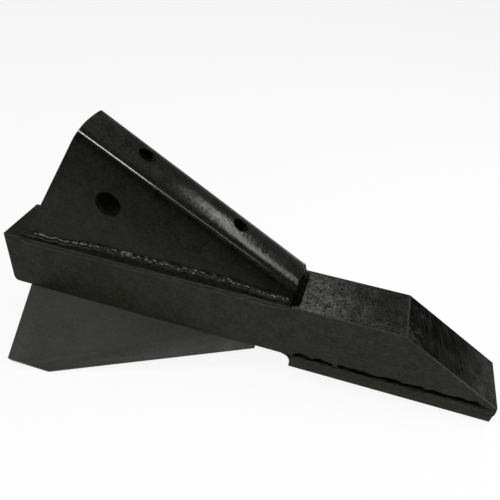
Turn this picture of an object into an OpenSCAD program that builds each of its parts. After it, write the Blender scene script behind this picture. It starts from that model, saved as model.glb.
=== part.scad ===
// Winged ripper point that slips over the foot of a subsoiler shank.
// Every piece is drawn in the bar's own axes: X runs along the bar to its digging end, Y across it, Z up,
// from the middle of the upper rear edge. The whole is then tilted to stand on its wing tips and its nose.

/* [Point bar] */
// Width of the square bar
bar_w = 50.8; // [46:0.1:64]
// Height of the square bar
bar_h = 50.8; // [40:0.1:64]
// Length of the bar
bar_l = 416; // [380:1:520]
// Length of the bevel on top of the digging end
nose_bevel_l = 81.6; // [60:0.1:110]
// Height of the blunt nose left below the bevel
nose_land = 3.6; // [1:0.1:12]
// Radius of the lower rear corner
heel_r = 5; // [1:0.1:12]

/* [Shank saddle] */
// Thickness of the shank that slides in
shank_t = 31.75; // [20:0.05:34]
// Free play of the shank between the two walls
shank_play = 0.9; // [0.4:0.05:2]
// Thickness of the folded plate
fold_t = 4.76; // [3:0.01:6]
// Outer radius of the two folds
fold_r = 13.5; // [7:0.1:16]
// Slope of the spine down to the digging end, in degrees
spine_slope = 28.5; // [22:0.1:34]
// Distance from the bar's rear end to the saddle's rear foot
saddle_heel_x = 19; // [10:0.1:30]
// Forward lean of the saddle's rear edge, in degrees from upright
saddle_lean = 30.6; // [20:0.1:40]
// Distance from the bar's rear end to the saddle's front end
saddle_nose_x = 248.5; // [225:0.1:270]
// Height of the saddle at its front end
saddle_nose_h = 15.4; // [12:0.1:24]
// Diameter of the cross bolt hole
bolt_d = 20.6; // [14:0.1:26]
// Distance from the saddle's rear foot forward to the cross bolt hole
bolt_forward = 79.6; // [70:0.1:95]
// Height of the cross bolt hole above the bar
bolt_up = 49.3; // [40:0.1:55]
// Diameter of the upper hole in the spine
upper_hole_d = 13.5; // [8:0.1:18]
// Diameter of the lower hole in the spine
lower_hole_d = 12.7; // [8:0.1:18]
// Distance along the spine from its rear end to the upper hole
upper_hole_along = 46.1; // [30:0.1:60]
// Distance along the spine between the two holes
spine_hole_pitch = 84.6; // [60:0.1:95]

/* [Wings] */
// Thickness of a wing plate
wing_t = 6.35; // [5:0.05:10]
// Distance from the bar's rear end to a wing's root
wing_root_x = 17; // [8:0.1:30]
// Length of a wing's root along the bar
wing_root_l = 208.1; // [180:0.1:225]
// Width of a wing from its root to its tip, along the plate
wing_w = 69; // [50:0.1:90]
// Length of a wing's tip edge
wing_tip_l = 36.5; // [20:0.1:60]
// How far a wing's rear edge runs forward on its way to the tip
wing_sweep = 11.5; // [0:0.1:20]
// Droop of a wing below level, in degrees
wing_droop = 25; // [18:0.5:40]
// Width of the sharpened band at the root
wing_bevel_root = 14; // [8:0.1:18]
// Width of the sharpened band at the tip
wing_bevel_tip = 8.5; // [6:0.1:14]
// Thickness left on the sharpened edge at the root
wing_edge_t = 0.8; // [0.4:0.1:2]

/* [Wear pad] */
// Thickness of the pad
pad_t = 12.7; // [9:0.1:20]
// Bare length of bar between the wings and the weld behind the pad
pad_gap = 23; // [10:0.1:40]
// Weld chamfer along the upper sides of the pad
pad_chamfer = 4; // [2:0.1:6]

/* [Welds] */
// Reach of the saddle weld up the saddle wall
saddle_weld_up = 6; // [4:0.1:8]
// Reach of the saddle weld down the side of the bar
saddle_weld_down = 5; // [2:0.1:8]
// How far the saddle weld stands out from the side of the bar
saddle_weld_proud = 1.6; // [0.8:0.1:3]
// Height of the nose weld on the saddle's front end
nose_weld_up = 11; // [9:0.1:12]
// Reach of the nose weld along the bar
nose_weld_out = 6; // [3:0.1:10]
// Reach of the pad weld up the side of the bar
pad_weld_up = 3; // [1.5:0.1:6]
// Lap of the pad weld over the side of the pad, below the chamfer
pad_weld_lap = 3; // [1:0.1:5]
// How far the pad weld stands out
pad_weld_proud = 1.6; // [0.8:0.1:3]
// Leg of the hollow fillet behind the pad
pad_fillet = 7.4; // [4:0.1:8.5]
// Leg of the weld under a wing
wing_weld_leg = 7; // [4:0.1:9]
// Throat of the weld under a wing
wing_weld_throat = 2.2; // [1:0.1:4]
// Spacing of the ripples along a weld
ripple_pitch = 6.5; // [5:0.1:10]
// Height of the ripples, as a share of the bead's section
ripple_share = 0.07; // [0.02:0.01:0.12]

/* [Hidden] */
$fn = 64;

paint = [0.15, 0.15, 0.14];
weld_paint = [0.2, 0.2, 0.19];
slack = 1;                               // overshoot of a cutting solid past the face it cuts
rings_per_ripple = 2;                    // sections of a bead in one ripple
bead_arc = 7;                            // steps round the outside of a bead
bead_end = 7;                            // length over which a bead swells at each end
bead_tip = 0.3;                          // share of the section left at a bead's very end

// Saddle
socket_w = shank_t + shank_play;
saddle_w = socket_w + 2 * fold_t;
ledge = (bar_w - saddle_w) / 2;
bend_r = min(fold_r, saddle_w / 2 - slack);
spine_fall = tan(spine_slope);
rear_lean = tan(saddle_lean);
// The rear top corner is where the spine's line meets the leaning rear edge
spine_rear_z = (saddle_nose_h + (saddle_nose_x - saddle_heel_x) * spine_fall) / (1 + rear_lean * spine_fall);
spine_rear_x = saddle_heel_x + spine_rear_z * rear_lean;
spine_l = (saddle_nose_x - spine_rear_x) / cos(spine_slope);

// Wings: the plate's inner end is mitred to lie flat under the bar
mitre_reach = wing_t / tan(wing_droop);
mitre_w = wing_t / sin(wing_droop);
wing_tip_rear_x = wing_root_x + wing_sweep;
wing_tip_front_x = wing_tip_rear_x + wing_tip_l;
wing_root_front_x = wing_root_x + wing_root_l;
lead_run = wing_root_front_x - wing_tip_front_x;
lead_l = sqrt(lead_run * lead_run + wing_w * wing_w);
lead_angle = atan2(wing_w, lead_run);
band_angle = lead_angle + asin((wing_bevel_root - wing_bevel_tip) / lead_l);
band_dip = atan((wing_t - wing_edge_t) / wing_bevel_root);

// Pad: it runs from ahead of the wings to the nose, flush with it
pad_rear_x = wing_root_front_x + pad_gap + pad_fillet;
pad_l = bar_l - pad_rear_x;

// Rest: the part stands on the front corners of its wing tips and on the pad's front edge
wing_tip_drop = wing_w * sin(wing_droop) + wing_t * cos(wing_droop);
rest_pitch = atan((wing_tip_drop - pad_t) / (bar_l - wing_tip_front_x));
rest_lift = bar_l * sin(rest_pitch) + (bar_h + pad_t) * cos(rest_pitch);
rest_front_x = bar_l * cos(rest_pitch) - (bar_h - nose_land) * sin(rest_pitch);
rest_rear_x = heel_r * (cos(rest_pitch) - 1) - (bar_h - heel_r) * sin(rest_pitch);
rest_mid_x = (rest_front_x + rest_rear_x) / 2;

module rest() {
    translate([-rest_mid_x, 0, rest_lift]) rotate([0, rest_pitch, 0]) children();
}

// A side view, drawn in X and Z, made into a solid of width w about the bar's middle plane
module across(w) {
    translate([0, w / 2, 0]) rotate([90, 0, 0]) linear_extrude(w) children();
}

module both_sides(left) {
    mirror([0, left ? 0 : 1, 0]) children();
}

// Bar

module bar_side_view() {
    difference() {
        polygon([[0, -bar_h], [bar_l, -bar_h], [bar_l, nose_land - bar_h],
            [bar_l - nose_bevel_l, 0], [0, 0]]);
        translate([0, -bar_h]) difference() {
            translate([-slack, -slack]) square(heel_r + slack);
            translate([heel_r, heel_r]) circle(heel_r);
        }
    }
}

module point_bar() {
    color(paint) rest() across(bar_w) bar_side_view();
}

// Saddle

// Section of a folded channel, open downwards, with its back on the X axis
module channel_section(w, depth, r) {
    translate([-w / 2, -depth]) square([w, depth - r]);
    translate([r - w / 2, -depth]) square([w - 2 * r, depth]);
    for (side = [-1, 1]) translate([side * (w / 2 - r), -r]) circle(r);
}

// Stands children on the spine's rear end, with X along the spine and Z out of it
module on_spine() {
    translate([spine_rear_x, 0, spine_rear_z]) rotate([0, spine_slope, 0]) children();
}

// A channel laid along the spine, longer and deeper than the saddle it is cut from
module channel(w, drop, r) {
    overrun = spine_rear_z;
    on_spine() translate([-overrun, 0, -drop]) rotate([90, 0, 90])
        linear_extrude(spine_l + 2 * overrun) channel_section(w, 2 * spine_rear_z, r);
}

module saddle_side_view() {
    top = spine_rear_z + slack;
    polygon([[saddle_heel_x, 0], [saddle_nose_x, 0], [saddle_nose_x, top],
        [saddle_heel_x + top * rear_lean, top]]);
}

module spine_hole(d, along) {
    on_spine() translate([along, 0, -fold_t - slack]) cylinder(d = d, h = fold_t + 2 * slack);
}

module shank_saddle() {
    color(paint) rest() difference() {
        intersection() {
            channel(saddle_w, 0, bend_r);
            across(saddle_w + 2 * slack) saddle_side_view();
        }
        channel(socket_w, fold_t, bend_r - fold_t);
        translate([saddle_heel_x + bolt_forward, 0, bolt_up]) rotate([90, 0, 0])
            cylinder(d = bolt_d, h = saddle_w + 2 * slack, center = true);
        spine_hole(upper_hole_d, upper_hole_along);
        spine_hole(lower_hole_d, upper_hole_along + spine_hole_pitch);
    }
}

// Pad

module pad_end_view() {
    half = bar_w / 2;
    polygon([[-half, -pad_t], [half, -pad_t], [half, -pad_chamfer], [half - pad_chamfer, 0],
        [pad_chamfer - half, 0], [-half, -pad_chamfer]]);
}

module wear_pad() {
    color(paint) rest() translate([pad_rear_x, 0, -bar_h]) rotate([90, 0, 90])
        linear_extrude(pad_l) pad_end_view();
}

// Wings

// Stands children on the bar's lower left edge, with Y out along the drooping plate
module on_wing_root() {
    translate([0, bar_w / 2, -bar_h]) rotate([-wing_droop, 0, 0]) children();
}

module wing_outline() {
    polygon([[wing_root_x, -mitre_reach], [wing_root_x, 0], [wing_tip_rear_x, wing_w],
        [wing_tip_front_x, wing_w], [wing_root_front_x, 0], [wing_root_front_x, -mitre_reach]]);
}

// Waste ground off the top of the leading edge
module wing_grind() {
    band_x = wing_root_front_x - wing_bevel_root / sin(lead_angle);
    long = 2 * lead_l;
    translate([band_x, 0, 0]) rotate([0, 0, -band_angle]) rotate([-band_dip, 0, 0])
        translate([-long / 2, 0, 0]) cube([long, wing_w, wing_w]);
}

module wing(left) {
    both_sides(left) difference() {
        on_wing_root() difference() {
            translate([0, 0, -wing_t]) linear_extrude(wing_t) wing_outline();
            wing_grind();
        }
        translate([0, bar_w / 2 - mitre_w - slack, -bar_h])
            cube([bar_l, mitre_w + slack, mitre_w + slack]);
    }
}

module wing_left() {
    color(paint) rest() wing(true);
}

module wing_right() {
    color(paint) rest() wing(false);
}

// Weld beads: a row of sections joined into one solid

// Each ring runs clockwise, seen from the last ring's side, and its corner at hub sees all the others
module loft(rings, hub) {
    n = len(rings);
    m = len(rings[0]);
    last = (n - 1) * m;
    corners = [for (ring = rings) each ring];
    walls = [for (i = [0 : n - 2], j = [0 : m - 1])
        let (a = i * m + j, b = i * m + (j + 1) % m)
        each [[a, b, b + m], [a, b + m, a + m]]];
    fan = [for (k = [1 : m - 2]) [hub, (hub + k) % m, (hub + k + 1) % m]];
    first_cap = [for (f = fan) [f[2], f[1], f[0]]];
    last_cap = [for (f = fan) [last + f[0], last + f[1], last + f[2]]];
    polyhedron(corners, concat(first_cap, walls, last_cap), convexity = 6);
}

// Share of the full section at a point along a bead: swollen ends, even ripples and a slow uneven swell
function bead_share(along, length, phase) =
    let (near_end = min(along, length - along, bead_end) / bead_end)
    let (rise = bead_tip + (1 - bead_tip) * sqrt(1 - pow(1 - near_end, 2)))
    let (ripple = sin(360 * along / ripple_pitch + phase))
    let (swell = sin(360 * along / (ripple_pitch * 4.3) + 2 * phase))
    rise * (1 - ripple_share + ripple_share * (ripple + swell) / 2);

function bead_stations(length) =
    let (n = ceil(rings_per_ripple * length / ripple_pitch))
    [for (i = [0 : n]) length * i / n];

// Outside of a bead over an edge: half an ellipse whose middle moves out over a ledge, in [out, up].
// The groove is the depth below the edge that the bead always fills.
function bead_front(share, ledge_w, groove, up, down, proud) =
    [for (k = [0 : bead_arc])
        let (turn = 90 - 180 * k / bead_arc)
        let (reach = turn > 0 ? share * up : groove + share * down)
        [share * proud * cos(turn) - ledge_w * max(0, 1 - 2 * k / bead_arc), reach * sin(turn)]];

// A bead along X over an edge, closed behind by a list of [out, up] corners
module edge_bead(length, phase, ledge_w, groove, up, down, proud, back) {
    middle = groove > 0 ? ceil(bead_arc / 2) : floor(bead_arc / 2);
    loft([for (x = bead_stations(length))
        let (front = bead_front(bead_share(x, length, phase), ledge_w, groove, up, down, proud))
        [for (p = concat(front, back)) [x, p[0], p[1]]]], middle);
}

module saddle_side_weld(left) {
    start_x = saddle_heel_x - bead_end / 2;
    both_sides(left) translate([start_x, bar_w / 2, 0])
        edge_bead(saddle_nose_x - start_x, left ? 0 : 130, ledge, 0, saddle_weld_up, saddle_weld_down,
            saddle_weld_proud, [[0, 0], [-ledge, 0]]);
}

module saddle_weld_left() {
    color(weld_paint) rest() saddle_side_weld(true);
}

module saddle_weld_right() {
    color(weld_paint) rest() saddle_side_weld(false);
}

// Plug of weld across the saddle's open front end
module saddle_weld_front() {
    width = saddle_w + ledge;
    color(weld_paint) rest() translate([saddle_nose_x, width / 2, 0]) rotate([0, 0, -90])
        loft([for (x = bead_stations(width))
            let (share = bead_share(x, width, 60))
            concat([[x, 0, 0]], [for (k = [0 : bead_arc])
                let (turn = 90 - 90 * k / bead_arc)
                [x, nose_weld_out * share * cos(turn), nose_weld_up * share * sin(turn)]])], 0);
}

module pad_side_weld(left) {
    both_sides(left) translate([pad_rear_x, bar_w / 2, -bar_h])
        edge_bead(pad_l, left ? 200 : 40, 0, pad_chamfer, pad_weld_up, pad_weld_lap, pad_weld_proud,
            [[0, -pad_chamfer], [-pad_chamfer, 0], [0, 0]]);
}

module pad_weld_left() {
    color(weld_paint) rest() pad_side_weld(true);
}

module pad_weld_right() {
    color(weld_paint) rest() pad_side_weld(false);
}

// Hollow fillet across the bar, behind the pad
module pad_weld_rear() {
    color(weld_paint) rest() across(bar_w) translate([pad_rear_x - pad_fillet, -bar_h - pad_fillet])
        difference() {
            square(pad_fillet);
            circle(pad_fillet);
        }
}

// Low bead in the shallow corner between the bar's underside and the wing's underside
module wing_weld(left) {
    length = wing_root_l - 2 * bead_end;
    both_sides(left) translate([wing_root_x + bead_end, bar_w / 2 - mitre_w, -bar_h])
        loft([for (x = bead_stations(length))
            let (share = bead_share(x, length, left ? 90 : 250))
            let (leg = wing_weld_leg * share)
            concat([[x, 0, 0]], [for (k = [0 : bead_arc])
                let (t = 1 - 2 * k / bead_arc)
                let (droop = t > 0 ? wing_droop : 0)
                let (fall = wing_weld_throat * share * (1 - t * t))
                [x, t * leg * cos(droop), -t * leg * sin(droop) - fall]])], 0);
}

module wing_weld_left() {
    color(weld_paint) rest() wing_weld(true);
}

module wing_weld_right() {
    color(weld_paint) rest() wing_weld(false);
}

point_bar();
shank_saddle();
wear_pad();
wing_left();
wing_right();
saddle_weld_left();
saddle_weld_right();
saddle_weld_front();
pad_weld_left();
pad_weld_right();
pad_weld_rear();
wing_weld_left();
wing_weld_right();
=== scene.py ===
# Ripper shank tooth: the painted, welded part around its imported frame
import math
import bmesh
import bpy
from mathutils import Matrix, Vector, noise


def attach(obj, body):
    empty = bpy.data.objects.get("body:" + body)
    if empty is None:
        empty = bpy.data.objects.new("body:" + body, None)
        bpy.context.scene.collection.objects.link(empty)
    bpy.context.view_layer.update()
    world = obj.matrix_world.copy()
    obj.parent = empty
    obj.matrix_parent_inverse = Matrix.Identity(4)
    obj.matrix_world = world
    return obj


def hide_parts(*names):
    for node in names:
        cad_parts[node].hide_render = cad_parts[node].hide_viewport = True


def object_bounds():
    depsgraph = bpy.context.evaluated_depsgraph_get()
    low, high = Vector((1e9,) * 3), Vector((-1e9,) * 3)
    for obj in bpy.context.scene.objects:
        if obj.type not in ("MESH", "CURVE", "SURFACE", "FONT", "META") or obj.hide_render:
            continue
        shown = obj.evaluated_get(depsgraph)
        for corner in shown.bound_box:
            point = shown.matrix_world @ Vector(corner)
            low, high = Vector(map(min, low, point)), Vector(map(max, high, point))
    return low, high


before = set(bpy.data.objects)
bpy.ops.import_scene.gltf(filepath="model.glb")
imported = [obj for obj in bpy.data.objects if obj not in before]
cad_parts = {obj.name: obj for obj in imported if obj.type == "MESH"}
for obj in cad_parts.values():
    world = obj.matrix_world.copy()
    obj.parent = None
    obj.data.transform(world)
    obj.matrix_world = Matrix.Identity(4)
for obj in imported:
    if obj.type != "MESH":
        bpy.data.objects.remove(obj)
cadLow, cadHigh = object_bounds()
print("frame loaded, nodes:", len(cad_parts))

mm = 0.001
sideWays = Vector((0, 1, 0))
flatMatch = 0.9995  # least agreement of a face's normal with that of the plane it lies in
thinCut = 1e-7  # a bisect takes points nearer to it than this as its own, in metres
touch = 0.01  # a point this near to a face lies on it, in millimetres
near = 0.05  # an edge this near to a line runs along it, in millimetres


# Normal of the largest face whose normal passes a test
def mainNormal(mesh, wanted):
    faces = (face for face in mesh.polygons if wanted(face.normal))
    return max(faces, key=lambda face: face.area).normal.copy()


# Normal of the largest face that points up enough, with its lean to a side taken out
def uprightNormal(mesh, enough):
    normal = mainNormal(mesh, lambda n: n.z > enough)
    normal.y = 0
    return normal.normalized()


# The bar's own axes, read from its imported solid: along to the tip, up out of its top
def readBarAxes():
    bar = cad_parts["point_bar"].data
    up = uprightNormal(bar, 0.9)
    along = sideWays.cross(up)
    topHeight = max(v.co.dot(up) for v in bar.vertices)
    rear = min(v.co.dot(along) for v in bar.vertices)
    return along * rear + up * topHeight, along, up


barOrigin, barAlong, barUp = readBarAxes()


def onBar(along, across, up):
    return barOrigin + (barAlong * along + sideWays * across + barUp * up) * mm


def fromBar(point):
    offset = (point - barOrigin) / mm
    return Vector((offset.dot(barAlong), offset.y, offset.dot(barUp)))


# Lowest and highest corner of a node along the bar's axes, in millimetres
def spanOnBar(node):
    points = [fromBar(v.co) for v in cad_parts[node].data.vertices]
    low = Vector(min(p[i] for p in points) for i in range(3))
    high = Vector(max(p[i] for p in points) for i in range(3))
    return low, high


barLow, barHigh = spanOnBar("point_bar")
saddleHigh = spanOnBar("shank_saddle")[1]
padLow = spanOnBar("wear_pad")[0]
barHalf = barHigh.y
print("bar", round(barHigh.x, 1), "mm long, saddle", round(saddleHigh.z, 1), "mm high")


# Shares from 0 to 1, and slow noise along a joint with its pitch in millimetres

def clampShare(value):
    return min(1, max(0, value))


def smoothStep(value):
    value = clampShare(value)
    return value * value * (3 - 2 * value)


def wander(along, pitch, seed, layer=1.7):
    return noise.noise(Vector((along / pitch, seed, layer)))


# Editing helpers

cleanUp = {"merge": 0.004, "flat": 0.6, "sharp": 25, "segments": 3, "weight": 80,
           "smoothPlate": 40, "smoothBead": 60, "smoothFillet": 30}


def pickOnly(piece):
    if bpy.context.object and bpy.context.object.mode != "OBJECT":
        bpy.ops.object.mode_set(mode="OBJECT")
    bpy.ops.object.select_all(action="DESELECT")
    piece.select_set(True)
    bpy.context.view_layer.objects.active = piece


def editPiece(piece):
    pickOnly(piece)
    bpy.ops.object.mode_set(mode="EDIT")
    bpy.ops.mesh.select_mode(type="FACE")


# Selects the faces or edges that pass a test, and nothing else
def selectWhere(piece, kind, wanted):
    bpy.ops.mesh.select_mode(type=kind)
    bpy.ops.mesh.select_all(action="DESELECT")
    shape = bmesh.from_edit_mesh(piece.data)
    for part in shape.faces if kind == "FACE" else shape.edges:
        if wanted(part):
            part.select_set(True)
    bmesh.update_edit_mesh(piece.data)


def applyModifier(piece, kind, **settings):
    pickOnly(piece)
    bpy.ops.object.modifier_add(type=kind)
    modifier = piece.modifiers[-1]
    for key, value in settings.items():
        setattr(modifier, key, value)
    bpy.ops.object.modifier_apply(modifier=modifier.name)


def addPaints(piece, *paints):
    for paint in paints:
        piece.data.materials.append(paint)


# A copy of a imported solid, joined up and with its flat faces whole again
def copyOfNode(node, name):
    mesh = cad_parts[node].data.copy()
    mesh.materials.clear()
    piece = bpy.data.objects.new(name, mesh)
    bpy.context.scene.collection.objects.link(piece)
    editPiece(piece)
    bpy.ops.mesh.select_all(action="SELECT")
    bpy.ops.mesh.remove_doubles(threshold=cleanUp["merge"] * mm)
    bpy.ops.mesh.customdata_custom_splitnormals_clear()
    bpy.ops.mesh.dissolve_limited(angle_limit=math.radians(cleanUp["flat"]))
    bpy.ops.object.mode_set(mode="OBJECT")
    return piece


# Rounds the sharp edges; the round strips take the material in slot 1
def easeEdges(piece, width):
    applyModifier(piece, "BEVEL", width=width * mm, segments=cleanUp["segments"], limit_method="ANGLE",
                  angle_limit=math.radians(cleanUp["sharp"]), use_clamp_overlap=True, material=1,
                  miter_outer="MITER_ARC", face_strength_mode="FSTR_NEW")


def smoothShading(piece, angle):
    pickOnly(piece)
    bpy.ops.object.shade_smooth_by_angle(angle=math.radians(angle))


def evenShading(piece):
    smoothShading(piece, cleanUp["smoothPlate"])
    applyModifier(piece, "WEIGHTED_NORMAL", weight=cleanUp["weight"], keep_sharp=True,
                  use_face_influence=True)


def finishPiece(piece, node):
    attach(piece, "root")
    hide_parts(node)


# Node helpers

# A Mix node has several sockets called A, B and Result: the ones in use are enabled
def socketOf(sockets, key):
    if isinstance(key, int):
        return sockets[key]
    named = [s for s in sockets if s.name == key]
    return next((s for s in named if s.enabled), named[0])


def addNode(tree, kind, x, y, values=None, **settings):
    node = tree.nodes.new(kind)
    node.location = (x, y)
    for key, value in settings.items():
        setattr(node, key, value)
    for key, value in (values or {}).items():
        socketOf(node.inputs, key).default_value = value
    return node


def wire(tree, fromNode, output, toNode, socket):
    tree.links.new(socketOf(fromNode.outputs, output), socketOf(toNode.inputs, socket))


# A new group: a number makes a value socket, None or three numbers a vector; it puts out values
def newGroup(name, inputs, outputs):
    tree = bpy.data.node_groups.new(name, "ShaderNodeTree")
    for label, value in inputs.items():
        kind = "NodeSocketFloat" if isinstance(value, float) else "NodeSocketVector"
        socket = tree.interface.new_socket(label, in_out="INPUT", socket_type=kind)
        if value is not None:
            socket.default_value = value
    for label in outputs:
        tree.interface.new_socket(label, in_out="OUTPUT", socket_type="NodeSocketFloat")
    start = addNode(tree, "NodeGroupInput", -900, 0)
    end = addNode(tree, "NodeGroupOutput", 700, 0)
    return tree, start, end


def useGroup(tree, group, x, y, values):
    return addNode(tree, "ShaderNodeGroup", x, y, values, node_tree=group)


def emptyMaterial(name):
    material = bpy.data.materials.new(name)
    material.use_nodes = True
    material.node_tree.nodes.clear()
    return material, material.node_tree


# Sprayed enamel: orange peel, fine grain and patches of more or less gloss
def makePaintGrain():
    tree, start, end = newGroup("paintGrain", {"Vector": None, "Peel": 260.0, "Grain": 1300.0, "Patch": 28.0},
                                ("Height", "Gloss", "Tone", "Swell"))
    peel = addNode(tree, "ShaderNodeTexNoise", -600, 260, {"Detail": 2.0, "Roughness": 0.5})
    grain = addNode(tree, "ShaderNodeTexNoise", -600, 40, {"Detail": 3.0, "Roughness": 0.65})
    patch = addNode(tree, "ShaderNodeTexNoise", -600, -180,
                    {"Detail": 4.0, "Roughness": 0.6, "Distortion": 0.4})
    mottle = addNode(tree, "ShaderNodeTexNoise", -600, -400, {"Detail": 5.0, "Roughness": 0.7})
    finer = addNode(tree, "ShaderNodeMath", -780, -400, {1: 3.1}, operation="MULTIPLY")
    speck = addNode(tree, "ShaderNodeTexNoise", -600, -640, {"Detail": 2.0, "Roughness": 0.6})
    coarser = addNode(tree, "ShaderNodeMath", -780, -640, {1: 0.5}, operation="MULTIPLY")
    for texture in (peel, grain, patch, mottle, speck):
        wire(tree, start, "Vector", texture, "Vector")
    wire(tree, start, "Grain", coarser, 0)
    wire(tree, coarser, 0, speck, "Scale")
    wire(tree, start, "Peel", peel, "Scale")
    wire(tree, start, "Grain", grain, "Scale")
    wire(tree, start, "Patch", patch, "Scale")
    wire(tree, start, "Patch", finer, 0)
    wire(tree, finer, 0, mottle, "Scale")
    mixed = addNode(tree, "ShaderNodeMath", -300, 160, {1: 0.45}, operation="MULTIPLY_ADD")
    wire(tree, grain, "Fac", mixed, 0)
    wire(tree, peel, "Fac", mixed, 2)
    gloss = addNode(tree, "ShaderNodeMapRange", -300, -120, {"From Min": 0.34, "From Max": 0.66})
    speckled = addNode(tree, "ShaderNodeMix", -420, -480, {"Factor": 0.55})
    tone = addNode(tree, "ShaderNodeMapRange", -300, -360, {"From Min": 0.36, "From Max": 0.64})
    wire(tree, patch, "Fac", gloss, "Value")
    wire(tree, mottle, "Fac", speckled, "A")
    wire(tree, speck, "Fac", speckled, "B")
    wire(tree, speckled, "Result", tone, "Value")
    wire(tree, mixed, 0, end, "Height")
    wire(tree, gloss, "Result", end, "Gloss")
    wire(tree, tone, "Result", end, "Tone")
    wire(tree, patch, "Fac", end, "Swell")
    return tree


# Grey shop dust on what faces up
def makeShopDust():
    tree, start, end = newGroup("shopDust", {"Vector": None, "Amount": 0.3}, ("Mask",))
    facing = addNode(tree, "ShaderNodeNewGeometry", -600, 200)
    split = addNode(tree, "ShaderNodeSeparateXYZ", -420, 200)
    upward = addNode(tree, "ShaderNodeMapRange", -240, 200, {"From Min": 0.1, "From Max": 1.0})
    cloud = addNode(tree, "ShaderNodeTexNoise", -600, -80, {"Scale": 60.0, "Detail": 6.0, "Roughness": 0.72})
    broken = addNode(tree, "ShaderNodeMapRange", -240, -80, {"From Min": 0.42, "From Max": 0.78})
    both = addNode(tree, "ShaderNodeMath", 0, 60, operation="MULTIPLY")
    scaled = addNode(tree, "ShaderNodeMath", 180, 60, operation="MULTIPLY", use_clamp=True)
    wire(tree, facing, "Normal", split, "Vector")
    wire(tree, split, "Z", upward, "Value")
    wire(tree, start, "Vector", cloud, "Vector")
    wire(tree, cloud, "Fac", broken, "Value")
    wire(tree, upward, "Result", both, 0)
    wire(tree, broken, "Result", both, 1)
    wire(tree, both, 0, scaled, 0)
    wire(tree, start, "Amount", scaled, 1)
    wire(tree, scaled, 0, end, "Mask")
    return tree


# Pebbled mill scale under the paint
def makeScaleSkin():
    tree, start, end = newGroup("scaleSkin", {"Vector": None, "Pebble": 620.0}, ("Height", "Fleck"))
    pebble = addNode(tree, "ShaderNodeTexVoronoi", -600, 220, {"Smoothness": 0.6, "Randomness": 1.0},
                     feature="SMOOTH_F1")
    rough = addNode(tree, "ShaderNodeTexNoise", -600, -40, {"Detail": 5.0, "Roughness": 0.75})
    half = addNode(tree, "ShaderNodeMath", -780, -40, {1: 0.55}, operation="MULTIPLY")
    fleck = addNode(tree, "ShaderNodeMapRange", -240, -60, {"From Min": 0.47, "From Max": 0.60})
    height = addNode(tree, "ShaderNodeMath", -240, 180, {1: 0.9}, operation="MULTIPLY_ADD")
    for texture in (pebble, rough):
        wire(tree, start, "Vector", texture, "Vector")
    wire(tree, start, "Pebble", pebble, "Scale")
    wire(tree, start, "Pebble", half, 0)
    wire(tree, half, 0, rough, "Scale")
    wire(tree, rough, "Fac", fleck, "Value")
    wire(tree, rough, "Fac", height, 0)
    wire(tree, pebble, "Distance", height, 2)
    wire(tree, height, 0, end, "Height")
    wire(tree, fleck, "Result", end, "Fleck")
    return tree


# Lines of a saw or grinder: the vector comes in already turned, with the lines along its Y
def makeCutLines():
    tree, start, end = newGroup("cutLines", {"Vector": None, "Fine": 900.0, "Broad": 170.0},
                                ("Height", "Tone"))
    squash = addNode(tree, "ShaderNodeVectorMath", -720, 0, {1: (1.0, 0.06, 0.06)}, operation="MULTIPLY")
    fine = addNode(tree, "ShaderNodeTexNoise", -520, 160, {"Detail": 3.0, "Roughness": 0.6})
    broad = addNode(tree, "ShaderNodeTexNoise", -520, -120, {"Detail": 4.0, "Roughness": 0.6})
    height = addNode(tree, "ShaderNodeMath", -240, 120, {1: 0.6}, operation="MULTIPLY_ADD")
    tone = addNode(tree, "ShaderNodeMapRange", -240, -120, {"From Min": 0.50, "From Max": 0.62})
    wire(tree, start, "Vector", squash, 0)
    wire(tree, squash, 0, fine, "Vector")
    wire(tree, squash, 0, broad, "Vector")
    wire(tree, start, "Fine", fine, "Scale")
    wire(tree, start, "Broad", broad, "Scale")
    wire(tree, fine, "Fac", height, 0)
    wire(tree, broad, "Fac", height, 2)
    wire(tree, broad, "Fac", tone, "Value")
    wire(tree, height, 0, end, "Height")
    wire(tree, tone, "Result", end, "Tone")
    return tree


# A ragged fade along a direction, from 0 at Start to 1 at End
def makeFadeAlong():
    tree, start, end = newGroup("fadeAlong", {"Vector": None, "Direction": (1, 0, 0), "Start": 0.0,
                                              "End": 0.1, "Ragged": 0.02, "Size": 60.0}, ("Mask",))
    along = addNode(tree, "ShaderNodeVectorMath", -600, 160, operation="DOT_PRODUCT")
    cloud = addNode(tree, "ShaderNodeTexNoise", -600, -80, {"Detail": 5.0, "Roughness": 0.65})
    centred = addNode(tree, "ShaderNodeMath", -400, -80, {1: 0.5}, operation="SUBTRACT")
    moved = addNode(tree, "ShaderNodeMath", -200, 60, operation="MULTIPLY_ADD")
    mask = addNode(tree, "ShaderNodeMapRange", 40, 60, interpolation_type="SMOOTHSTEP")
    wire(tree, start, "Vector", along, 0)
    wire(tree, start, "Direction", along, 1)
    wire(tree, start, "Vector", cloud, "Vector")
    wire(tree, start, "Size", cloud, "Scale")
    wire(tree, cloud, "Fac", centred, 0)
    wire(tree, centred, 0, moved, 0)
    wire(tree, start, "Ragged", moved, 1)
    wire(tree, along, "Value", moved, 2)
    wire(tree, moved, 0, mask, "Value")
    wire(tree, start, "Start", mask, "From Min")
    wire(tree, start, "End", mask, "From Max")
    wire(tree, mask, "Result", end, "Mask")
    return tree


paintGrain = makePaintGrain()
shopDust = makeShopDust()
scaleSkin = makeScaleSkin()
cutLines = makeCutLines()
fadeAlong = makeFadeAlong()
dustColour = (0.070, 0.068, 0.058, 1)


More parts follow.
